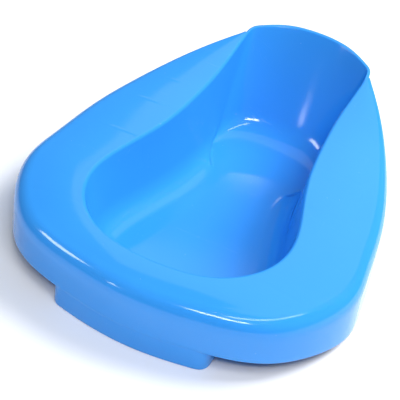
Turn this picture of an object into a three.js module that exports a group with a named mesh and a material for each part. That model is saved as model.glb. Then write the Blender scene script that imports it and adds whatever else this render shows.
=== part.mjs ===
import * as THREE from "three";

// A bedpan moulded in one shot of polypropylene. Millimetres, +Z up, seat end towards -Y, pouring end towards +Y.
// The real shell is one piece, so each of its functional regions is its own closed solid, a hair apart from the next.

// Driving dimensions
const wall = 2.8; // moulded wall thickness
const gap = 0.5; // clearance between neighbouring regions
const floorTop = wall; // upper face of the bowl's flat floor, which rests on the ground
const halfLength = 180; // from the middle of the part to either end
const seatFront = 56.5; // height of the seat's outer edge at the seat end
const seatRise = 38.5; // how much higher the pouring end stands
const seatCrown = 10; // how much the mouth stands over the outer edge at the seat end
const skirtLift = 21; // clear height under the skirt at the seat end
const skirtClearance = 2; // clear height under the skirt along the sides
const liftEnd = 0.5; // share of the length over which the skirt comes down
const sweepStart = 0.58; // share of the length from which the skirt sweeps up to the pouring end
const sweepEnd = 0.92; // share of the length at which that sweep is over
const skirtTail = 16; // depth of the skirt where it runs out
const floorBlend = 20; // length of the blend from floor to wall
const mouthRound = 5; // rounding where the wall turns into the seat
const rimRound = 12; // rounding where the seat turns into the skirt
const lipRound = 3; // the same rounding where the seat runs out into the pouring end
const skirtEdge = 3; // depth of the skirt's rounded lower edge
const lipWall = 1.2; // wall of the seat and skirt where they run out
const lipRadius = 2.6; // bead along the top of the pouring end
const cornerSteps = 6; // facets across each rounding
const stationStep = 0.25; // spacing of the shell's columns, in stations

// Right-hand half of the plan at twelve stations from the seat end round to the pouring end: the outer edge, the
// bowl's mouth and the line where wall and floor would meet. The last four lie on the pouring end's half ellipse.
const stations = [
  { rim: [0, -180], mouth: [0, -147.5], foot: [0, -131] },
  { rim: [64, -171.5], mouth: [47.5, -139], foot: [40, -123] },
  { rim: [116.5, -148], mouth: [79.5, -109.5], foot: [69, -98] },
  { rim: [148, -96], mouth: [87.5, -71], foot: [75, -68] },
  { rim: [147.5, -49], mouth: [77.5, -31], foot: [65, -28] },
  { rim: [138.5, 2], mouth: [66.5, 6.5], foot: [56, 8] },
  { rim: [120.5, 54.5], mouth: [60.5, 48], foot: [51, 45] },
  { rim: [94, 105], mouth: [58, 97], foot: [51, 78] },
  { rim: [66, 150], mouth: [59.5, 146], foot: [54, 97] },
  { rim: [54.5, 163.5], mouth: [52, 161.5], foot: [45, 113] },
  { rim: [31.5, 175.8], mouth: [30, 173], foot: [25, 121] },
  { rim: [0, 180], mouth: [0, 177.4], foot: [0, 123] },
];
const loop = 2 * (stations.length - 1);
const seatEnd = 7.75; // station where the seat stops and the pouring end's own wall and lip start
const frontEnd = 1.75; // station where the skirt's front ends and its side begins
const stationGap = 0.045; // the clearance between neighbours measured in stations

// A smooth closed curve through one column of the table and its mirror image.
function planCurve(column) {
  const right = stations.map((station) => station[column]);
  const left = right.slice(1, -1).reverse().map(([x, y]) => [-x, y]);
  const points = [...right, ...left].map(([x, y]) => new THREE.Vector3(x, y, 0));
  return new THREE.CatmullRomCurve3(points, true, "centripetal");
}
const rimCurve = planCurve("rim");
const mouthCurve = planCurve("mouth");
const footCurve = planCurve("foot");
const planPoint = (curve, station) => curve.getPoint((((station / loop) % 1) + 1) % 1);

const share = (y) => THREE.MathUtils.clamp((y + halfLength) / (2 * halfLength), 0, 1);
const seatHeight = (y) => seatFront + seatRise * share(y) ** 2;
const mouthHeight = (y) => seatHeight(y) + seatCrown * (1 - share(y));

// Height of the skirt's lower edge: lifted at the seat end, low along the sides, swept up to the pouring end.
function skirtBottom(y) {
  const lift = (skirtLift - skirtClearance) * (1 - THREE.MathUtils.smoothstep(share(y), 0, liftEnd));
  const sweep = THREE.MathUtils.smoothstep(share(y), sweepStart, sweepEnd);
  return skirtClearance + lift + (seatHeight(y) - skirtTail - skirtClearance) * sweep;
}

// The four corners of the moulding's upper face at one station.
function corners(station) {
  const rim = planPoint(rimCurve, station);
  const mouth = planPoint(mouthCurve, station);
  const foot = planPoint(footCurve, station);
  mouth.z = mouthHeight(mouth.y);
  rim.z = seatHeight(rim.y);
  foot.z = floorTop;
  return { rim, mouth, foot, hem: new THREE.Vector3(rim.x, rim.y, skirtBottom(rim.y)) };
}

// Unit direction from a to b.
const heading = (a, b) => b.clone().sub(a).normalize();

// A rounded corner from a distance before the corner to a distance after it.
function rounded(before, corner, after, distanceIn, distanceOut = distanceIn) {
  const start = corner.clone().addScaledVector(heading(corner, before), distanceIn);
  const end = corner.clone().addScaledVector(heading(corner, after), distanceOut);
  return new THREE.QuadraticBezierCurve3(start, corner, end).getPoints(cornerSteps);
}

// Floor blend at one station: level from inside the floor, then up the wall.
function floorCorner({ foot, mouth }) {
  const inside = foot.clone().sub(mouth).setZ(0).normalize().add(foot);
  return rounded(inside, foot, mouth, floorBlend);
}

// From 0 over most of the seat to 1 where it runs out into the pouring end, over the last so many stations.
function runOut(station, length) {
  const turned = Math.abs(((((station + loop / 2) % loop) + loop) % loop) - loop / 2);
  return THREE.MathUtils.smoothstep(turned, seatEnd - length, seatEnd);
}

// Rounding between seat and skirt, and their thickness, both less towards the pouring end.
const outerRounding = (station) => THREE.MathUtils.lerp(rimRound, lipRound, runOut(station, 2.5));
const thinning = (station) => THREE.MathUtils.lerp(wall, lipWall, runOut(station, 1.2));

// The whole upper face at one station, from floor to the skirt's lower edge, region by region.
function section(station) {
  const c = corners(station);
  const width = c.rim.distanceTo(c.mouth);
  const innerRound = Math.min(mouthRound, 0.28 * width);
  const outerRound = Math.min(outerRounding(station), 0.32 * width);
  const across = heading(c.mouth, c.rim);
  const blend = floorCorner(c);
  const rise = heading(c.foot, c.mouth);
  const wallStart = blend.at(-1).clone().addScaledVector(rise, gap);
  const turn = rounded(c.foot, c.mouth, c.rim, innerRound);
  const roll = rounded(c.mouth, c.rim, c.hem, outerRound);
  const seatStart = turn.at(-1).clone().addScaledVector(across, gap);
  const seatStop = roll[0].clone().addScaledVector(across, -gap);
  const edgeTop = c.hem.clone().setZ(c.hem.z + skirtEdge);
  return {
    corner: blend,
    wall: [wallStart, ...turn],
    seat: [seatStart, seatStart.clone().lerp(seatStop, 0.5), seatStop],
    skirt: [...roll, edgeTop.clone().setZ(edgeTop.z + gap)],
    edge: [edgeTop, c.hem],
  };
}

// The pouring end's wall at one station: straight up from the floor blend to just under the lip.
function splashSection(station) {
  const c = corners(station);
  const rise = heading(c.foot, c.mouth);
  const blend = floorCorner(c);
  const wallStart = blend.at(-1).clone().addScaledVector(rise, gap);
  const top = c.mouth.clone().addScaledVector(rise, -lipRadius - 2 * gap);
  return { corner: blend, wall: [wallStart, wallStart.clone().lerp(top, 0.5), top] };
}

const range = (from, to) => {
  const count = Math.round((to - from) / stationStep);
  return Array.from({ length: count + 1 }, (_, i) => from + ((to - from) * i) / count);
};

// One region of the shell: the upper face's rows at each station, thickened by the wall along the face's normal.
function slab(sectionAt, region, from, to, { closed = false, thickness = () => wall } = {}) {
  const places = range(from, to);
  if (closed) places.pop();
  const rowsAt = (station) => sectionAt(station)[region];
  const step = 0.01;
  const upper = [];
  const lower = [];
  for (const place of places) {
    const rows = rowsAt(place);
    const ahead = rowsAt(place + step);
    const behind = rowsAt(place - step);
    const last = rows.length - 1;
    upper.push(rows);
    lower.push(
      rows.map((point, j) => {
        const along = ahead[j].clone().sub(behind[j]);
        const across = rows[Math.min(j + 1, last)].clone().sub(rows[Math.max(j - 1, 0)]);
        return point.clone().addScaledVector(across.cross(along).normalize(), -thickness(place));
      }),
    );
  }
  return gridSolid(upper, lower, closed);
}

// Closes two matching grids of points into one solid.
function gridSolid(upper, lower, closed) {
  const columns = upper.length;
  const rows = upper[0].length;
  const index = (layer, i, j) => (layer * columns + (i % columns)) * rows + j;
  const faces = [];
  const quad = (a, b, c, d) => faces.push(a, b, c, a, c, d);
  const spans = closed ? columns : columns - 1;
  for (let i = 0; i < spans; i++) {
    for (let j = 0; j < rows - 1; j++) {
      quad(index(0, i, j), index(0, i, j + 1), index(0, i + 1, j + 1), index(0, i + 1, j));
      quad(index(1, i, j), index(1, i + 1, j), index(1, i + 1, j + 1), index(1, i, j + 1));
    }
    quad(index(0, i, 0), index(0, i + 1, 0), index(1, i + 1, 0), index(1, i, 0));
    const j = rows - 1;
    quad(index(0, i, j), index(1, i, j), index(1, i + 1, j), index(0, i + 1, j));
  }
  for (let j = 0; !closed && j < rows - 1; j++) {
    const i = columns - 1;
    quad(index(0, 0, j), index(1, 0, j), index(1, 0, j + 1), index(0, 0, j + 1));
    quad(index(0, i, j), index(0, i, j + 1), index(1, i, j + 1), index(1, i, j));
  }
  const positions = [...upper.flat(), ...lower.flat()].flatMap((point) => point.toArray());
  const geometry = new THREE.BufferGeometry();
  geometry.setAttribute("position", new THREE.Float32BufferAttribute(positions, 3));
  geometry.setIndex(faces);
  geometry.computeVertexNormals();
  return geometry;
}

// A flat plate between two heights from an outline in plan.
function plate(outline, bottom, top) {
  const shape = new THREE.Shape(outline.map((point) => new THREE.Vector2(point.x, point.y)));
  return new THREE.ExtrudeGeometry(shape, { depth: top - bottom, bevelEnabled: false }).translate(0, 0, bottom);
}

// The floor, just inside the blend that runs round it.
function floorPlate() {
  const outline = range(0, loop)
    .slice(0, -1)
    .map((station) => {
      const c = corners(station);
      const [edge] = floorCorner(c);
      return edge.addScaledVector(heading(c.foot, edge), gap);
    });
  return plate(outline, floorTop - wall, floorTop);
}

// The bead on top of the pouring end, a round bar along the mouth with flat ends.
function lipBead() {
  const path = new THREE.CatmullRomCurve3(
    range(seatEnd, loop - seatEnd).map((station) => corners(station).mouth),
  );
  const circle = new THREE.Shape().absarc(0, 0, lipRadius, 0, 2 * Math.PI);
  return new THREE.ExtrudeGeometry(circle, { steps: 36, curveSegments: 5, bevelEnabled: false, extrudePath: path });
}

// Where a plan curve crosses a given y on the right-hand side.
function crossing(curve, y) {
  let low = 2;
  let high = stations.length - 1.5;
  for (let i = 0; i < 40; i++) {
    const middle = (low + high) / 2;
    if (planPoint(curve, middle).y < y) low = middle;
    else high = middle;
  }
  return planPoint(curve, low).x;
}

const ribThickness = 2;
const ribDepth = 24;
const ribClearance = 2; // between a rib and the shell round it
const ribPlaces = [-122, -25, 22, 56];

// A web across the hollow under the seat, in a plane of constant y.
function ribGeometry(y) {
  const mouth = crossing(mouthCurve, y);
  const foot = crossing(footCurve, y);
  const rim = crossing(rimCurve, y);
  const under = wall + gap;
  const inner = mouth + under + ribClearance + 2;
  const outer = rim - under - ribClearance;
  const topAt = (x) =>
    THREE.MathUtils.mapLinear(x, mouth, rim, mouthHeight(y), seatHeight(y)) - under - ribClearance;
  const bottom = topAt(outer) - ribDepth;
  const lean = (mouth - foot) / (mouthHeight(y) - floorTop);
  const profile = new THREE.Shape([
    new THREE.Vector2(inner, topAt(inner)),
    new THREE.Vector2(inner - lean * (topAt(inner) - bottom), bottom),
    new THREE.Vector2(outer - rimRound / 2, bottom),
    new THREE.Vector2(outer, bottom + rimRound / 2),
    new THREE.Vector2(outer, topAt(outer) - rimRound),
    new THREE.Vector2(outer - rimRound, topAt(outer - rimRound)),
  ]);
  return new THREE.ExtrudeGeometry(profile, { depth: ribThickness, bevelEnabled: false })
    .rotateX(Math.PI / 2)
    .translate(0, y + ribThickness / 2, 0);
}

// The stand under the middle of the seat end: a front panel below the skirt and a web behind each of its ends.
const standHalfWidth = 69;
const standBack = -136; // where the webs stop, short of the bowl
const standColumns = 16;

// Station on the seat end where the rim's outer edge has a given x.
function stationOfX(x) {
  let low = 0;
  let high = 2;
  for (let i = 0; i < 40; i++) {
    const middle = (low + high) / 2;
    if (planPoint(rimCurve, middle).x < x) low = middle;
    else high = middle;
  }
  return low;
}

// A panel that follows the skirt from one web to the other, standing on the ground.
function standFront() {
  const end = stationOfX(standHalfWidth - wall - gap);
  const top = skirtBottom(-halfLength + 10) - gap;
  const outer = [];
  const inner = [];
  for (let i = 0; i <= standColumns; i++) {
    const station = end * ((2 * i) / standColumns - 1);
    const point = planPoint(rimCurve, station);
    const along = planPoint(rimCurve, station + 0.01).sub(planPoint(rimCurve, station - 0.01)).normalize();
    const inward = new THREE.Vector3(-along.y, along.x, 0);
    const at = (depth, z) => point.clone().addScaledVector(inward, depth).setZ(z);
    outer.push([at(0, top), at(0, 0)]);
    inner.push([at(wall, top), at(wall, 0)]);
  }
  return gridSolid(outer, inner, false);
}

// A web from the ground up to the underside of the seat, stepped back to clear the skirt.
function standSide() {
  const front = planPoint(rimCurve, stationOfX(standHalfWidth)).y + 0.4;
  const behindSkirt = front + wall + ribClearance;
  const top = skirtBottom(front) - gap;
  const under = (y) =>
    THREE.MathUtils.mapLinear(y, -176, -140, seatFront, seatFront + seatCrown) - wall - 2 * ribClearance;
  const profile = new THREE.Shape([
    new THREE.Vector2(front, 0),
    new THREE.Vector2(standBack, 0),
    new THREE.Vector2(standBack - 4, under(standBack - 4)),
    new THREE.Vector2(behindSkirt + rimRound / 2, under(behindSkirt + rimRound / 2) - 2),
    new THREE.Vector2(behindSkirt, under(behindSkirt) - rimRound),
    new THREE.Vector2(behindSkirt, top),
    new THREE.Vector2(front, top),
  ]);
  return new THREE.ExtrudeGeometry(profile, { depth: wall, bevelEnabled: false })
    .rotateY(Math.PI / 2)
    .rotateX(Math.PI / 2)
    .translate(standHalfWidth - wall, 0, 0);
}

// A mirror image across the plane x = 0, with its faces turned back to point outwards.
function mirrored(geometry) {
  const copy = (geometry.index ? geometry.toNonIndexed() : geometry.clone()).scale(-1, 1, 1);
  const position = copy.getAttribute("position");
  for (let i = 0; i < position.count; i += 3) {
    const a = new THREE.Vector3().fromBufferAttribute(position, i);
    const b = new THREE.Vector3().fromBufferAttribute(position, i + 1);
    position.setXYZ(i, b.x, b.y, b.z);
    position.setXYZ(i + 1, a.x, a.y, a.z);
  }
  copy.computeVertexNormals();
  return copy;
}

const part = new THREE.Group();
const blue = "#2f9bff";

function add(name, geometry, color = blue) {
  const material = new THREE.MeshStandardMaterial({ color, roughness: 0.22, metalness: 0 });
  const mesh = new THREE.Mesh(geometry, material);
  mesh.name = name;
  part.add(mesh);
}

const leftEnd = -seatEnd + stationGap;
const rightEnd = seatEnd - stationGap;
const outer = { thickness: thinning };
add("bowl_floor", floorPlate());
add("bowl_corner", slab(section, "corner", 0, loop, { closed: true }));
add("bowl_wall", slab(section, "wall", leftEnd, rightEnd));
add("splash_wall", slab(splashSection, "wall", seatEnd + stationGap, loop - seatEnd - stationGap));
add("pour_lip", lipBead());
add("seat_rim", slab(section, "seat", leftEnd, rightEnd, outer));
add("skirt_left", slab(section, "skirt", leftEnd, -frontEnd - stationGap, outer));
add("skirt_front", slab(section, "skirt", -frontEnd, frontEnd, outer));
add("skirt_right", slab(section, "skirt", frontEnd + stationGap, rightEnd, outer));
add("skirt_edge_left", slab(section, "edge", leftEnd, -frontEnd - stationGap, outer));
add("skirt_edge_front", slab(section, "edge", -frontEnd, frontEnd, outer));
add("skirt_edge_right", slab(section, "edge", frontEnd + stationGap, rightEnd, outer));
add("stand_front", standFront());
add("stand_side_right", standSide());
add("stand_side_left", mirrored(standSide()));
ribPlaces.forEach((y, i) => {
  add(`rib_right_${i + 1}`, ribGeometry(y));
  add(`rib_left_${i + 1}`, mirrored(ribGeometry(y)));
});

export default part;
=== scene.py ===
import math
import bpy
import bmesh
import numpy as np
from mathutils import Matrix


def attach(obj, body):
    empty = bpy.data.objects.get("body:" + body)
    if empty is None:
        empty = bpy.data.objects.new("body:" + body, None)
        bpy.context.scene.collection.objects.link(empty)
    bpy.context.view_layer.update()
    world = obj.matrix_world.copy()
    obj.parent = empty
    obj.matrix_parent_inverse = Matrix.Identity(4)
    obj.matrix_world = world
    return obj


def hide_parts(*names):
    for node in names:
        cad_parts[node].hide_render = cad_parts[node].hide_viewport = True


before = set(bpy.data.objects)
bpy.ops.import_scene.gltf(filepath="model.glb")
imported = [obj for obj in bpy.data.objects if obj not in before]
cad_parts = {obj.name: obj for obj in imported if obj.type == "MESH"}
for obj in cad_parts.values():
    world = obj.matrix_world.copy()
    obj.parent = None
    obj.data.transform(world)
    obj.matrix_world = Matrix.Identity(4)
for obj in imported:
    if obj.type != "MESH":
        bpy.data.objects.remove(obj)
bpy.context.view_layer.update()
mm = 0.001

# Plan of the right-hand half from the seat end (-Y) round to the pouring end (+Y), in millimetres: the
# seat's outer edge, the mouth of the bowl, and the line where wall and floor would meet. The mouth's pouring
# end is half an ellipse.
plan = {
    "halfLength": 180,
    "rim": [(0, -180), (64, -171.5), (116.5, -148), (148, -96), (147.5, -49), (138.5, 2), (120.5, 54.5),
            (94, 105), (63.5, 149)],
    "mouth": [(0, -147.5), (47.5, -139), (79.5, -109.5), (87.5, -71), (77.5, -31), (66.5, 6.5), (60.5, 48),
              (58, 97)],
    "foot": [(0, -131), (40, -123), (69, -98), (75, -68), (65, -28), (56, 8), (51, 45), (51, 78),
             (54, 97), (45, 113), (25, 121), (0, 123)],
    "lipCentre": 146,
    "lipHalfWidth": 59,
    "lipReach": 31,
    "lipWidth": 3,
}
lipStation = len(plan["rim"]) - 1  # where the seat has run out and the pouring end's lip starts
lastStation = len(plan["foot"]) - 1  # the middle of the pouring end

# Heights and roundings of the shell, in millimetres. The fades are in stations of the plan, the starts and
# ends of the lift and the sweep in shares of the length.
shell = {
    "wall": 2.8,
    "seatFront": 56.5, "seatRise": 38.5, "risePower": 2, "seatCrown": 10, "seatBulge": 1.2,
    "skirtLift": 21, "skirtClearance": 2, "liftEnd": 0.5,
    "sweepStart": 0.58, "sweepEnd": 0.92, "skirtTail": 16, "lipSkirt": 3.5, "lipWall": 1.2,
    "floorBlend": 20, "floorSpine": (-70, 78), "mouthRound": 3.5, "rimRound": 14, "lipRound": 3,
    "roundShare": 0.4, "bulgeWidth": 60, "skirtFlare": 1,
    "lipFade": 0.9, "flareFade": 2, "roundFade": 2.5, "columnsPerStation": 16,
    "rows": {"floor": 8, "blend": 14, "wall": 10, "mouth": 9, "seat": 12, "rim": 12, "skirt": 8, "hem": 6},
}

firstSeatRow = 1 + sum(shell["rows"][region] for region in ("floor", "blend", "wall", "mouth"))


def smoothStep(x, low, high):
    t = np.clip((x - low) / (high - low), 0, 1)
    return t * t * (3 - 2 * t)


# Cubic spline with continuous curvature through points at whole-number parameters. Periodic when closed, and
# with no curvature at its ends when open.
def splineThrough(points, closed):
    p = np.array(points, float)
    n = len(p)
    a = np.zeros((n, n))
    b = np.zeros_like(p)
    inner = np.arange(n) if closed else np.arange(1, n - 1)
    a[inner, inner] = 4
    a[inner, (inner - 1) % n] += 1
    a[inner, (inner + 1) % n] += 1
    b[inner] = 6 * (p[(inner + 1) % n] - 2 * p[inner] + p[(inner - 1) % n])
    if not closed:
        a[0, 0] = a[-1, -1] = 1
    bend = np.linalg.solve(a, b)

    def at(u):
        u = np.asarray(u, float)
        i = np.floor(u).astype(int)
        if not closed:
            i = np.clip(i, 0, n - 2)
        f = (u - i)[..., None]
        j, k = i % n, (i + 1) % n
        return ((1 - f) * p[j] + f * p[k]
                + ((1 - f) ** 3 - (1 - f)) * bend[j] / 6 + (f ** 3 - f) * bend[k] / 6)
    return at


# A right-hand half followed by its mirror image, without the two points on the middle line again.
def mirrorClosed(points):
    return points + [(-x, y) for x, y in points[-2:0:-1]]


# The mouth at the pouring end: a quarter of an ellipse, evenly spaced in angle.
def lipEllipse(count):
    angles = np.linspace(0, math.pi / 2, count)
    x = plan["lipHalfWidth"] * np.cos(angles)
    y = plan["lipCentre"] + plan["lipReach"] * np.sin(angles)
    return list(zip(x.tolist(), y.tolist()))


mouthAt = splineThrough(mirrorClosed(plan["mouth"] + lipEllipse(lastStation - lipStation + 1)), True)
footAt = splineThrough(mirrorClosed(plan["foot"]), True)
rimLine = splineThrough([(-x, y) for x, y in plan["rim"][:0:-1]] + plan["rim"], False)


# Unit vectors in plan pointing out of a closed curve.
def outwardOf(curve, u, step=0.01):
    along = curve(u + step) - curve(u - step)
    return np.stack([along[..., 1], -along[..., 0]], -1) / np.linalg.norm(along, axis=-1, keepdims=True)


# Stations counted from the seat end, positive on the right and negative on the left.
def turnedFrom(u):
    return (u + lastStation) % (2 * lastStation) - lastStation


# Outer edge in plan: the rim's own line round the seat, and a thin lip's width outside the mouth at the
# pouring end.
def rimAt(u):
    turned = turnedFrom(u)
    onSeat = np.abs(turned) <= lipStation
    lip = mouthAt(u) + plan["lipWidth"] * outwardOf(mouthAt, u)
    return np.where(onSeat[..., None], rimLine(np.clip(turned, -lipStation, lipStation) + lipStation), lip)


# Share of the length at y, from 0 at the seat end to 1 at the pouring end.
def share(y):
    return np.clip((y + plan["halfLength"]) / (2 * plan["halfLength"]), 0, 1)


# Height of the seat's outer edge, which rises with a power of the share of the length.
def seatHeight(y):
    return shell["seatFront"] + shell["seatRise"] * share(y) ** shell["risePower"]


# Height of the skirt's lower edge: lifted at the seat end, low along the sides, swept up to the pouring end.
def hemHeight(y):
    s = share(y)
    lift = (shell["skirtLift"] - shell["skirtClearance"]) * (1 - smoothStep(s, 0, shell["liftEnd"]))
    sweep = smoothStep(s, shell["sweepStart"], shell["sweepEnd"])
    tail = seatHeight(y) - shell["skirtTail"] - shell["skirtClearance"]
    return shell["skirtClearance"] + lift + tail * sweep


def lerp(a, b, t):
    return a + (b - a) * t


def unit(v):
    return v / np.maximum(np.linalg.norm(v, axis=-1, keepdims=True), 1e-9)


# Rows that round a corner: a quadratic curve from a distance before the corner to a distance after it.
def cornerRows(before, corner, after, distance, count):
    start = corner + unit(before - corner) * distance
    end = corner + unit(after - corner) * distance
    t = np.linspace(0, 1, count)[None, :, None]
    return (1 - t) ** 2 * start[:, None] + 2 * t * (1 - t) * corner[:, None] + t ** 2 * end[:, None]


# Rows evenly spaced on the straight line between two ends, without the ends.
def lineRows(start, end, count):
    t = (np.arange(count) + 1)[None, :, None] / (count + 1)
    return start[:, None] + (end - start)[:, None] * t


# Points in plan raised to a height.
def withHeight(xy, z):
    return np.concatenate([xy, np.broadcast_to(z, xy.shape[:1])[:, None]], 1)


# Upper face of the moulding as a grid: one column per place round the pan, one row per step along the section,
# from the middle of the floor up the wall, over the seat and down the skirt. Each corner is a quadratic curve
# between straight stretches, and the seat is raised by a parabola across its width. Returns the points and
# the wall's thickness at each.
def upperFace(u):
    rows = shell["rows"]
    mouthXy, rimXy, footXy = mouthAt(u), rimAt(u), footAt(u)
    top = seatHeight(mouthXy[:, 1]) + shell["seatCrown"] * (1 - share(mouthXy[:, 1]))
    mouth = withHeight(mouthXy, top)
    rim = withHeight(rimXy, seatHeight(rimXy[:, 1]))
    foot = withHeight(footXy, shell["wall"])
    turned = np.abs(turnedFrom(u))
    lipness = smoothStep(turned, lipStation - shell["lipFade"], lipStation)
    flare = shell["skirtFlare"] * (1 - smoothStep(turned, lipStation - shell["flareFade"], lipStation))
    hem = rim.copy()
    hem[:, :2] += outwardOf(rimAt, u) * flare[:, None]
    hem[:, 2] = lerp(hemHeight(rim[:, 1]), rim[:, 2] - shell["lipSkirt"], lipness)
    width = np.linalg.norm(rim - mouth, axis=1)[:, None]
    inside = foot + np.concatenate([unit(footXy - mouthXy), np.zeros((len(u), 1))], 1)
    blend = cornerRows(inside, foot, mouth, shell["floorBlend"], rows["blend"])
    mostRound = shell["roundShare"] * width
    turn = cornerRows(foot, mouth, rim, np.minimum(shell["mouthRound"], mostRound), rows["mouth"])
    roundness = smoothStep(turned, lipStation - shell["roundFade"], lipStation)[:, None]
    rimRound = lerp(shell["rimRound"], shell["lipRound"], roundness)
    roll = cornerRows(mouth, rim, hem, np.minimum(rimRound, mostRound), rows["rim"])
    spine = blend[:, 0] * [0, 1, 1]
    spine[:, 1] = np.clip(spine[:, 1], *shell["floorSpine"])
    floor = np.concatenate([spine[:, None], lineRows(spine, blend[:, 0], rows["floor"])], 1)
    wall = lineRows(blend[:, -1], turn[:, 0], rows["wall"])
    seat = lineRows(turn[:, -1], roll[:, 0], rows["seat"])
    t = (np.arange(rows["seat"]) + 1)[None, :] / (rows["seat"] + 1)
    seat[..., 2] += shell["seatBulge"] * 4 * t * (1 - t) * np.minimum(width / shell["bulgeWidth"], 1)
    skirt = lineRows(roll[:, -1], hem, rows["skirt"])
    points = np.concatenate([floor, blend, wall, turn, seat, roll, skirt, hem[:, None]], 1)
    beyond = rows["rim"] + rows["skirt"] + 1
    over = np.concatenate([np.zeros(firstSeatRow), np.linspace(0, 1, rows["seat"]), np.ones(beyond)])
    thickness = lerp(shell["wall"], shell["lipWall"], lipness[:, None] * over[None, :])
    return points, thickness


# Normals of a grid that is closed round its columns, from the differences between neighbours.
def gridNormals(points):
    along = np.roll(points, -1, 0) - np.roll(points, 1, 0)
    across = np.gradient(points, axis=1)
    normals = np.cross(across, along)
    flat = np.linalg.norm(normals, axis=-1) < 1e-9
    normals = unit(normals)
    normals[flat] = (0, 0, 1)
    return normals


# A closed mesh from a grid of points, joined round its columns, with its coincident points merged.
def gridMesh(name, points, closedColumns=True, closedRows=False):
    columns, rows = points.shape[:2]
    i = np.arange(columns if closedColumns else columns - 1)[:, None]
    j = np.arange(rows if closedRows else rows - 1)[None, :]
    a = i * rows + j
    b = i * rows + (j + 1) % rows
    c = ((i + 1) % columns) * rows + (j + 1) % rows
    d = ((i + 1) % columns) * rows + j
    faces = np.stack([a, b, c, d], -1).reshape(-1, 4)
    mesh = bpy.data.meshes.new(name)
    mesh.from_pydata((points.reshape(-1, 3) * mm).tolist(), [], faces.tolist())
    work = bmesh.new()
    work.from_mesh(mesh)
    bmesh.ops.remove_doubles(work, verts=work.verts, dist=1e-6)
    bmesh.ops.dissolve_degenerate(work, edges=work.edges, dist=1e-7)
    bmesh.ops.recalc_face_normals(work, faces=work.faces)
    work.to_mesh(mesh)
    work.free()
    mesh.shade_smooth()
    piece = bpy.data.objects.new(name, mesh)
    bpy.context.collection.objects.link(piece)
    return piece


# Upper and lower faces of the shell at many stations of the right-hand half.
def shellFaces(u, step=0.004):
    upper, thickness = upperFace(u)
    along = upperFace(u + step)[0] - upperFace(u - step)[0]
    normals = unit(np.cross(np.gradient(upper, axis=1), along))
    return upper, upper - normals * thickness[..., None]


# Where each row of a grid crosses a plane, from the two neighbouring columns on either side of it.
def cutRows(grid, axis, at):
    rows = np.arange(grid.shape[1])
    k = np.clip((grid[..., axis] < at).sum(0), 1, len(grid) - 1)
    low, high = grid[k - 1, rows], grid[k, rows]
    t = (at - low[:, axis]) / (high[:, axis] - low[:, axis])
    return lerp(low, high, t[:, None])


# The whole seamless shell: the upper face, a half-round hem, and the lower face a wall's thickness below.
def makeShell():
    u = np.arange(2 * lastStation * shell["columnsPerStation"]) / shell["columnsPerStation"]
    upper, thickness = upperFace(u)
    normals = gridNormals(upper)
    lower = upper - normals * thickness[..., None]
    down = unit(upper[:, -1] - upper[:, -2])
    middle = (upper[:, -1] + lower[:, -1]) / 2
    angles = np.linspace(0, math.pi, shell["rows"]["hem"] + 2)[1:-1]
    radius = thickness[:, -1:, None] / 2
    hem = (middle[:, None] + radius * (np.cos(angles)[None, :, None] * normals[:, -1:]
                                       + np.sin(angles)[None, :, None] * down[:, None]))
    return gridMesh("pan_shell", np.concatenate([upper, hem, lower[:, ::-1]], 1))


# The stand under the seat end, in millimetres: a wall that is U-shaped in plan, flush with the skirt in
# front, with rounded corners and a web running back on either side up to the underside of the seat.
stand = {"halfWidth": 69, "corner": 9, "back": -137, "wall": 2.8, "inset": 0.15, "intoSkirt": 3,
         "intoSeat": 0.9, "riseEnd": 6, "endCap": 0.7, "footRound": 1.4,
         "frontColumns": 60, "cornerColumns": 12, "webColumns": 24, "wallRows": 14, "footRows": 7}


# The skirt's lower edge in plan, drawn in a little so that the stand's face doesn't stand proud of it.
def hemPlan(u):
    return rimAt(u) + outwardOf(rimAt, u) * (shell["skirtFlare"] - stand["inset"])


# Outer face of the stand in plan, from the back of the left web round the front to the back of the right web:
# the front follows the skirt, each corner is a quadratic curve, each web is straight.
def standPath():
    u = np.linspace(0, 2, 400)
    hem = hemPlan(u)
    end = np.interp(stand["halfWidth"] - stand["corner"], hem[:, 0], u)
    start, ahead = hemPlan(np.array([end, end + 0.01]))
    corner = start + (ahead - start) * (stand["halfWidth"] - start[0]) / (ahead[0] - start[0])
    after = corner + [0, stand["corner"]]
    t = np.linspace(0, 1, stand["cornerColumns"])[:, None]
    turn = (1 - t) ** 2 * start + 2 * t * (1 - t) * corner + t ** 2 * after
    web = np.stack([np.full(stand["webColumns"], after[0]),
                    np.linspace(after[1], stand["back"], stand["webColumns"] + 1)[1:]], 1)
    right = np.concatenate([turn, web])
    front = hemPlan(np.linspace(-end, end, stand["frontColumns"])[1:-1])
    return np.concatenate([right[::-1] * [-1, 1], front, right])


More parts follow.
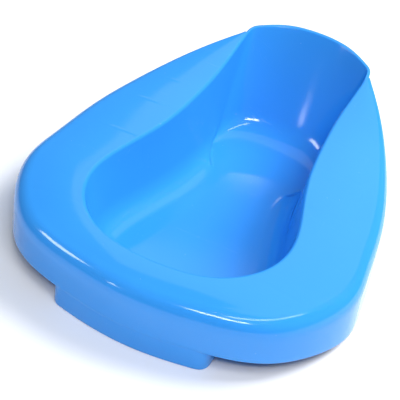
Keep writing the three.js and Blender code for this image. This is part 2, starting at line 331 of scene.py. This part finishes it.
# A wall along the path from the ground up: outer face, half-round foot, inner face. Its top is buried in the
# skirt where it runs under the skirt, and in the seat behind that.
def makeStand():
    path = standPath()
    along = unit(np.gradient(path, axis=0))
    outward = np.stack([along[:, 1], -along[:, 0]], 1)
    lower = shellFaces(np.linspace(0, 2.4, 300))[1]
    seatCut = cutRows(lower, 0, stand["halfWidth"] - stand["wall"] / 2)
    seatCut = seatCut[firstSeatRow:-shell["rows"]["skirt"] - 4][::-1]  # the seat's rows, from the rim inwards
    underSeat = np.interp(path[:, 1], seatCut[:, 1], seatCut[:, 2]) + stand["intoSeat"]
    skirtLine = hemPlan(np.linspace(-2, 2, 800))
    behind = path[:, 1] - np.interp(path[:, 0], skirtLine[:, 0], skirtLine[:, 1])
    rise = smoothStep(behind, stand["wall"], stand["riseEnd"])
    top = lerp(hemHeight(path[:, 1]) + stand["intoSkirt"], underSeat, rise)
    middle = path - outward * stand["wall"] / 2
    up = np.linspace(0, 1, stand["wallRows"])
    foot = stand["footRound"]
    heights = foot + (top[:, None] - foot) * up[None, :]
    angles = np.linspace(0, math.pi, stand["footRows"])
    sideways = np.concatenate([np.ones(len(up)), np.cos(angles[1:-1]), -np.ones(len(up))])
    footHeights = np.broadcast_to(foot - foot * np.sin(angles[1:-1]), (len(path), len(angles) - 2))
    z = np.concatenate([heights[:, ::-1], footHeights, heights], 1)
    xy = middle[:, None] + outward[:, None] * (sideways * stand["wall"] / 2)[None, :, None]
    points = np.concatenate([xy, z[..., None]], -1)
    closing = np.concatenate([np.broadcast_to(middle[:, None], xy.shape), z[..., None]], -1)
    first, last = (end + [0, stand["endCap"], 0] for end in (closing[:1], closing[-1:]))
    return gridMesh("stand_wall", np.concatenate([first, points, last]), closedColumns=False, closedRows=True)


# Stiffening webs across the hollow under the seat, in millimetres: four on each side.
rib = {"places": (-122, -25, 22, 56), "depth": 24, "wall": 2, "intoShell": 0.4, "edgeRound": 0.8}


# One web in a plane of constant y: its top edge is the shell's own section sunk a little into the wall, its
# lower edge is level with soft corners, and its ends close on its middle plane.
def makeRib(name, y, side):
    faces = shellFaces(np.linspace(1, lipStation - 0.3, 500))
    upper, lower = (cutRows(face, 1, y) for face in faces)
    rows = shell["rows"]
    edge = lerp(lower, upper, rib["intoShell"])[rows["floor"] + rows["blend"]:]
    seatRows = slice(rows["wall"] + rows["mouth"], rows["wall"] + rows["mouth"] + rows["seat"])
    bottom = edge[seatRows, 2].min() - rib["depth"]
    edge = edge[edge[:, 2] > bottom + 0.5]
    half, soft = rib["wall"] / 2, rib["edgeRound"]
    upright = np.array([1, 0.5, 0, 0, 0, 0, 0.5, 1])
    aside = np.array([-half, -half, -half, soft - half, half - soft, half, half, half])
    raised = bottom + np.array([0, 0, soft, 0, 0, soft, 0, 0])
    z = raised + (edge[:, 2:3] - raised) * upright
    x = np.broadcast_to(side * edge[:, :1], z.shape)
    points = np.stack([x, np.broadcast_to(y + aside, z.shape), z], -1)
    closing = points.copy()
    closing[..., 1] = y
    web = np.concatenate([closing[:1], points, closing[-1:]])
    return gridMesh(name, web, closedColumns=False, closedRows=True)


# The glossy blue plastic. Depths are in millimetres, scales are per metre.
plastic = {
    "color": (0.034, 0.3, 0.8, 1), "deep": (0.028, 0.28, 0.77, 1), "pale": (0.35, 0.62, 0.92, 1),
    "mottleScale": 6, "mottleRange": (0.3, 0.75),
    "roughness": 0.08, "unevenness": 0.04, "patchScale": 9, "patchRange": (0.35, 0.7),
    "scuffs": 0.5, "scuffRoughness": 0.2, "scuffTint": 0.12, "scuffWidth": 0.006, "scuffPatch": (0.56, 0.66),
    "scuffSets": ((0.5, (9, 160, 60)), (2.1, (150, 10, 60))), "scuffPatchScale": 0.45,
    "speckScale": 260, "speckSize": (0.04, 0.12), "speckRarity": 0.985, "speckTint": 0.5,
    "waves": 0.12, "waveScale": 14, "rippleScale": 60, "rippleShare": 0.08, "peel": 0.003, "peelScale": 900,
    "sinkDepth": 0.07, "sinkWidth": 2.4, "sinkHeight": (34, 44), "sinkFront": (-158, -148),
    "sinkScale": 22, "sinkRange": (0.35, 0.6), "sinkLeast": 0.35,
    "refraction": 1.5, "bodyGlow": 0.02, "glowRadius": (0.2, 0.6, 1), "glowScale": 0.004,
}


def newGroup(name, inputs, outputs):
    group = bpy.data.node_groups.new(name, "ShaderNodeTree")
    for label, kind, value in inputs:
        socket = group.interface.new_socket(name=label, in_out="INPUT", socket_type=kind)
        socket.default_value = value
    for label, kind in outputs:
        group.interface.new_socket(name=label, in_out="OUTPUT", socket_type=kind)
    return group, group.nodes.new("NodeGroupInput"), group.nodes.new("NodeGroupOutput")


def setOrLink(tree, socket, value):
    if isinstance(value, bpy.types.NodeSocket):
        tree.links.new(value, socket)
    else:
        socket.default_value = value


def mathNode(tree, operation, *values):
    node = tree.nodes.new("ShaderNodeMath")
    node.operation = operation
    for socket, value in zip(node.inputs, values):
        setOrLink(tree, socket, value)
    return node.outputs[0]


def noiseNode(tree, vector, scale, detail=2.0, roughness=0.5, distortion=0.0):
    node = tree.nodes.new("ShaderNodeTexNoise")
    tree.links.new(vector, node.inputs["Vector"])
    settings = {"Scale": scale, "Detail": detail, "Roughness": roughness, "Distortion": distortion}
    for label, value in settings.items():
        node.inputs[label].default_value = value
    return node.outputs["Fac"]


def rangeNode(tree, value, low, high, toLow=0.0, toHigh=1.0):
    node = tree.nodes.new("ShaderNodeMapRange")
    node.interpolation_type = "SMOOTHSTEP"
    tree.links.new(value, node.inputs["Value"])
    for label, limit in (("From Min", low), ("From Max", high), ("To Min", toLow), ("To Max", toHigh)):
        node.inputs[label].default_value = limit
    return node.outputs["Result"]


def mixColors(tree, factor, first, second):
    node = tree.nodes.new("ShaderNodeMix")
    node.data_type = "RGBA"
    for label, value in (("Factor", factor), ("A", first), ("B", second)):
        socket = [s for s in node.inputs if s.name == label and s.enabled][0]
        setOrLink(tree, socket, value)
    return [s for s in node.outputs if s.enabled][0]


# Faint sink lines over the webs under the seat and over the stand's, 1 on the middle of a line and 0 away
# from it, and only at the seat's height.
def sinkLineGroup():
    group, given, result = newGroup("sinkLines", [("Vector", "NodeSocketVector", (0, 0, 0))],
                                    [("Mask", "NodeSocketFloat")])
    split = group.nodes.new("ShaderNodeSeparateXYZ")
    group.links.new(given.outputs["Vector"], split.inputs[0])
    x, y, z = (split.outputs[label] for label in "XYZ")

    def lineAt(coordinate, place):
        distance = mathNode(group, "ABSOLUTE", mathNode(group, "SUBTRACT", coordinate, place * mm))
        return rangeNode(group, distance, 0, plastic["sinkWidth"] * mm, 1, 0)

    total = 0.0
    for place in rib["places"]:
        total = mathNode(group, "ADD", lineAt(y, place), total)
    standLine = lineAt(mathNode(group, "ABSOLUTE", x), stand["halfWidth"] - stand["wall"] / 2)
    frontStart, frontEnd = plastic["sinkFront"]
    front = rangeNode(group, y, frontStart * mm, frontEnd * mm, 1, 0)
    total = mathNode(group, "ADD", total, mathNode(group, "MULTIPLY", standLine, front))
    blotches = noiseNode(group, given.outputs["Vector"], plastic["sinkScale"])
    uneven = rangeNode(group, blotches, *plastic["sinkRange"], plastic["sinkLeast"], 1)
    low, high = plastic["sinkHeight"]
    raised = mathNode(group, "MULTIPLY", uneven, rangeNode(group, z, low * mm, high * mm))
    group.links.new(mathNode(group, "MULTIPLY", total, raised), result.inputs["Mask"])
    return group


# Height of a moulded surface in metres: slow waves left by uneven cooling, ripples on them, and a fine orange
# peel.
def mouldHeightGroup():
    group, given, result = newGroup("mouldHeight", [("Vector", "NodeSocketVector", (0, 0, 0)),
                                                    ("Waves", "NodeSocketFloat", 1.0),
                                                    ("Peel", "NodeSocketFloat", 1.0)],
                                    [("Height", "NodeSocketFloat")])
    vector, depth = given.outputs["Vector"], given.outputs["Waves"]
    waves = mathNode(group, "MULTIPLY", noiseNode(group, vector, plastic["waveScale"], 1), depth)
    ripples = noiseNode(group, vector, plastic["rippleScale"], 2)
    ripples = mathNode(group, "MULTIPLY", mathNode(group, "MULTIPLY", ripples, plastic["rippleShare"]), depth)
    peel = noiseNode(group, vector, plastic["peelScale"], 1)
    peel = mathNode(group, "MULTIPLY", peel, given.outputs["Peel"])
    total = mathNode(group, "ADD", mathNode(group, "ADD", waves, ripples), peel)
    group.links.new(total, result.inputs["Height"])
    return group


# Short fine scratches from stacking and cleaning, 1 on a scratch: thin level lines of a stretched noise, kept
# only where a second, coarser noise is high.
def scuffGroup():
    group, given, result = newGroup("scuffs", [("Vector", "NodeSocketVector", (0, 0, 0)),
                                               ("Amount", "NodeSocketFloat", 0.5)],
                                    [("Mask", "NodeSocketFloat")])
    total = 0.0
    for angle, stretch in plastic["scuffSets"]:
        turn = group.nodes.new("ShaderNodeMapping")
        turn.inputs["Rotation"].default_value = (0, 0, angle)
        turn.inputs["Scale"].default_value = stretch
        group.links.new(given.outputs["Vector"], turn.inputs["Vector"])
        fine = noiseNode(group, turn.outputs[0], 1, 3)
        level = mathNode(group, "ABSOLUTE", mathNode(group, "SUBTRACT", fine, 0.5))
        scratch = rangeNode(group, level, 0, plastic["scuffWidth"], 1, 0)
        coarse = noiseNode(group, turn.outputs[0], plastic["scuffPatchScale"], 2)
        patch = rangeNode(group, coarse, *plastic["scuffPatch"])
        total = mathNode(group, "ADD", mathNode(group, "MULTIPLY", scratch, patch), total)
    amount = mathNode(group, "MULTIPLY", total, given.outputs["Amount"])
    group.links.new(mathNode(group, "MINIMUM", amount, 1.0), result.inputs["Mask"])
    return group


# Uneven gloss: broad handled patches, small specks of dust.
def glossGroup():
    group, given, result = newGroup("unevenGloss", [("Vector", "NodeSocketVector", (0, 0, 0))],
                                    [("Patches", "NodeSocketFloat"), ("Specks", "NodeSocketFloat")])
    vector = given.outputs["Vector"]
    broad = noiseNode(group, vector, plastic["patchScale"], 4, 0.6, 0.4)
    patches = rangeNode(group, broad, *plastic["patchRange"])
    cells = group.nodes.new("ShaderNodeTexVoronoi")
    cells.inputs["Scale"].default_value = plastic["speckScale"]
    group.links.new(vector, cells.inputs["Vector"])
    rare = group.nodes.new("ShaderNodeTexWhiteNoise")
    group.links.new(cells.outputs["Position"], rare.inputs["Vector"])
    chosen = mathNode(group, "GREATER_THAN", rare.outputs["Value"], plastic["speckRarity"])
    dots = rangeNode(group, cells.outputs["Distance"], *plastic["speckSize"], 1, 0)
    group.links.new(patches, result.inputs["Patches"])
    group.links.new(mathNode(group, "MULTIPLY", dots, chosen), result.inputs["Specks"])
    return group


# Colour of the pigmented plastic: slightly uneven pigment, paler in scuffs and specks.
def pigmentGroup():
    group, given, result = newGroup("pigment", [("Vector", "NodeSocketVector", (0, 0, 0)),
                                                ("Color", "NodeSocketColor", plastic["color"]),
                                                ("Deep", "NodeSocketColor", plastic["deep"]),
                                                ("Pale", "NodeSocketColor", plastic["pale"]),
                                                ("Wear", "NodeSocketFloat", 0.0)],
                                    [("Color", "NodeSocketColor")])
    cloudy = noiseNode(group, given.outputs["Vector"], plastic["mottleScale"], 3)
    mottle = rangeNode(group, cloudy, *plastic["mottleRange"])
    base = mixColors(group, mottle, given.outputs["Color"], given.outputs["Deep"])
    worn = mixColors(group, given.outputs["Wear"], base, given.outputs["Pale"])
    group.links.new(worn, result.inputs["Color"])
    return group


def makePlastic(groups):
    material = bpy.data.materials.new("bluePolypropylene")
    material.use_nodes = True
    tree = material.node_tree
    bsdf = tree.nodes["Principled BSDF"]
    place = tree.nodes.new("ShaderNodeTexCoord").outputs["Object"]

    def use(group, **values):
        node = tree.nodes.new("ShaderNodeGroup")
        node.node_tree = groups[group]
        tree.links.new(place, node.inputs["Vector"])
        for label, value in values.items():
            setOrLink(tree, node.inputs[label], value)
        return node

    sink = use("sinkLines").outputs["Mask"]
    height = use("mouldHeight", Waves=plastic["waves"] * mm, Peel=plastic["peel"] * mm).outputs["Height"]
    scuffs = use("scuffs", Amount=plastic["scuffs"]).outputs["Mask"]
    gloss = use("unevenGloss")
    wear = mathNode(tree, "MAXIMUM", mathNode(tree, "MULTIPLY", scuffs, plastic["scuffTint"]),
                    mathNode(tree, "MULTIPLY", gloss.outputs["Specks"], plastic["speckTint"]))
    color = use("pigment", Color=plastic["color"], Deep=plastic["deep"], Pale=plastic["pale"], Wear=wear)
    tree.links.new(color.outputs["Color"], bsdf.inputs["Base Color"])
    rough = mathNode(tree, "ADD", mathNode(tree, "MULTIPLY", gloss.outputs["Patches"], plastic["unevenness"]),
                     plastic["roughness"])
    rough = mathNode(tree, "ADD", mathNode(tree, "MULTIPLY", scuffs, plastic["scuffRoughness"]), rough)
    tree.links.new(rough, bsdf.inputs["Roughness"])
    lowered = mathNode(tree, "SUBTRACT", height, mathNode(tree, "MULTIPLY", sink, plastic["sinkDepth"] * mm))
    bump = tree.nodes.new("ShaderNodeBump")
    bump.inputs["Strength"].default_value = 1
    bump.inputs["Distance"].default_value = 1
    tree.links.new(lowered, bump.inputs["Height"])
    tree.links.new(bump.outputs["Normal"], bsdf.inputs["Normal"])
    bsdf.inputs["IOR"].default_value = plastic["refraction"]
    bsdf.inputs["Subsurface Weight"].default_value = plastic["bodyGlow"]
    bsdf.inputs["Subsurface Radius"].default_value = plastic["glowRadius"]
    bsdf.inputs["Subsurface Scale"].default_value = plastic["glowScale"]
    return material


blue = makePlastic({"sinkLines": sinkLineGroup(), "mouldHeight": mouldHeightGroup(), "scuffs": scuffGroup(),
                    "unevenGloss": glossGroup(), "pigment": pigmentGroup()})
print("materials", len(bpy.data.node_groups))


def placePiece(piece, *nodes):
    piece.data.materials.append(blue)
    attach(piece, "root")
    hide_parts(*nodes)
    print(piece.name, len(piece.data.polygons))


placePiece(makeShell(), "bowl_floor", "bowl_corner", "bowl_wall", "splash_wall", "pour_lip", "seat_rim",
           "skirt_left", "skirt_front", "skirt_right",
           "skirt_edge_left", "skirt_edge_front", "skirt_edge_right")
placePiece(makeStand(), "stand_front", "stand_side_right", "stand_side_left")
for number, ribY in enumerate(rib["places"], 1):
    for sideName, side in (("right", 1), ("left", -1)):
        placePiece(makeRib(f"web_{sideName}_{number}", ribY, side), f"rib_{sideName}_{number}")

# Camera: above and to the right of the seat end, slightly rolled. Angles in degrees, places in millimetres.
view = {"azimuth": 21.46, "elevation": 40.3, "roll": 8.66, "distance": 1014, "target": (-2, -54.9, 56.2),
        "focalRatio": 3.105, "sensor": 36}


def makeCamera():
    azimuth, elevation, roll = (math.radians(view[k]) for k in ("azimuth", "elevation", "roll"))
    level = math.cos(elevation)
    back = np.array([math.sin(azimuth) * level, -math.cos(azimuth) * level, math.sin(elevation)])
    right = np.array([math.cos(azimuth), math.sin(azimuth), 0])
    up = np.cross(back, right)
    across = math.cos(roll) * right + math.sin(roll) * up
    upright = math.cos(roll) * up - math.sin(roll) * right
    data = bpy.data.cameras.new("camera")
    data.sensor_width = view["sensor"]
    data.lens = data.sensor_width * view["focalRatio"]
    camera = bpy.data.objects.new("camera", data)
    bpy.context.collection.objects.link(camera)
    place = (np.array(view["target"]) + back * view["distance"]) * mm
    matrix = np.eye(4)
    matrix[:3, 0], matrix[:3, 1], matrix[:3, 2], matrix[:3, 3] = across, upright, back, place
    camera.matrix_world = Matrix(matrix.tolist())
    bpy.context.scene.camera = camera


makeCamera()


ground = {"size": 12, "color": (0.9, 0.9, 0.92, 1), "roughness": 0.6}


def makeFloor():
    bpy.ops.mesh.primitive_plane_add(size=ground["size"], location=(0, 0, 0))
    floor = bpy.context.object
    floor.name = "floor"
    material = bpy.data.materials.new("paleFloor")
    material.use_nodes = True
    bsdf = material.node_tree.nodes["Principled BSDF"]
    bsdf.inputs["Base Color"].default_value = ground["color"]
    bsdf.inputs["Roughness"].default_value = ground["roughness"]
    floor.data.materials.append(material)


makeFloor()
print("camera and floor")


# A rectangular lamp that faces the pan.
def areaLight(name, lamp):
    data = bpy.data.lights.new(name, "AREA")
    data.shape = "RECTANGLE"
    data.size, data.size_y = lamp["size"]
    data.energy = lamp["power"]
    light = bpy.data.objects.new(name, data)
    light.visible_glossy = lamp["role"] != "light"
    light.visible_diffuse = lamp["role"] != "card"
    bpy.context.collection.objects.link(light)
    turn, rise = (math.radians(angle) for angle in lamp["toward"])
    back = np.array([math.cos(rise) * math.sin(turn), math.cos(rise) * math.cos(turn), math.sin(rise)])
    side = unit(np.cross([0, 0, 1], back))
    matrix = np.eye(4)
    matrix[:3, 0], matrix[:3, 1], matrix[:3, 2] = side, np.cross(back, side), back
    matrix[:3, 3] = back * lamp["distance"]
    light.matrix_world = Matrix(matrix.tolist())


# Each lamp: direction from the pan as degrees from +Y towards +X and degrees up, distance and size in metres,
# power in watts, and what it does: "light" only lights, "card" only shows in the gloss, "both" does both.
lamps = {
    "keyLight": {"toward": (48, 48), "distance": 2.2, "size": (1.0, 1.0), "power": 53, "role": "light"},
    "frontFill": {"toward": (140, 60), "distance": 2.2, "size": (0.9, 0.9), "power": 19, "role": "light"},
    "frontStrip": {"toward": (163, 48), "distance": 1.5, "size": (0.5, 0.13), "power": 5, "role": "both"},
    "scrim": {"toward": (-12, 64.5), "distance": 2.4, "size": (2.0, 1.8), "power": 8.5, "role": "card"},
    "overheadStrip": {"toward": (115, 71), "distance": 1.4, "size": (1.0, 0.09), "power": 3, "role": "card"},
    "leftCard": {"toward": (-127, 35), "distance": 1.6, "size": (0.5, 0.28), "power": 5, "role": "card"},
    "sideGlint": {"toward": (-156, 22), "distance": 1.6, "size": (0.07, 0.2), "power": 0.5, "role": "card"},
    "window": {"toward": (-18.5, 36.6), "distance": 2.6, "size": (0.11, 0.15), "power": 0.17, "role": "card"},
}
for lampName, lamp in lamps.items():
    areaLight(lampName, lamp)
print("lights", len(lamps))

surroundings = {"color": (0.66, 0.8, 1, 1), "strength": 0.32}
world = bpy.data.worlds.new("softStudio")
bpy.context.scene.world = world
world.use_nodes = True
background = world.node_tree.nodes["Background"]
background.inputs["Color"].default_value = surroundings["color"]
background.inputs["Strength"].default_value = surroundings["strength"]
bpy.context.scene.view_settings.view_transform = "Standard"
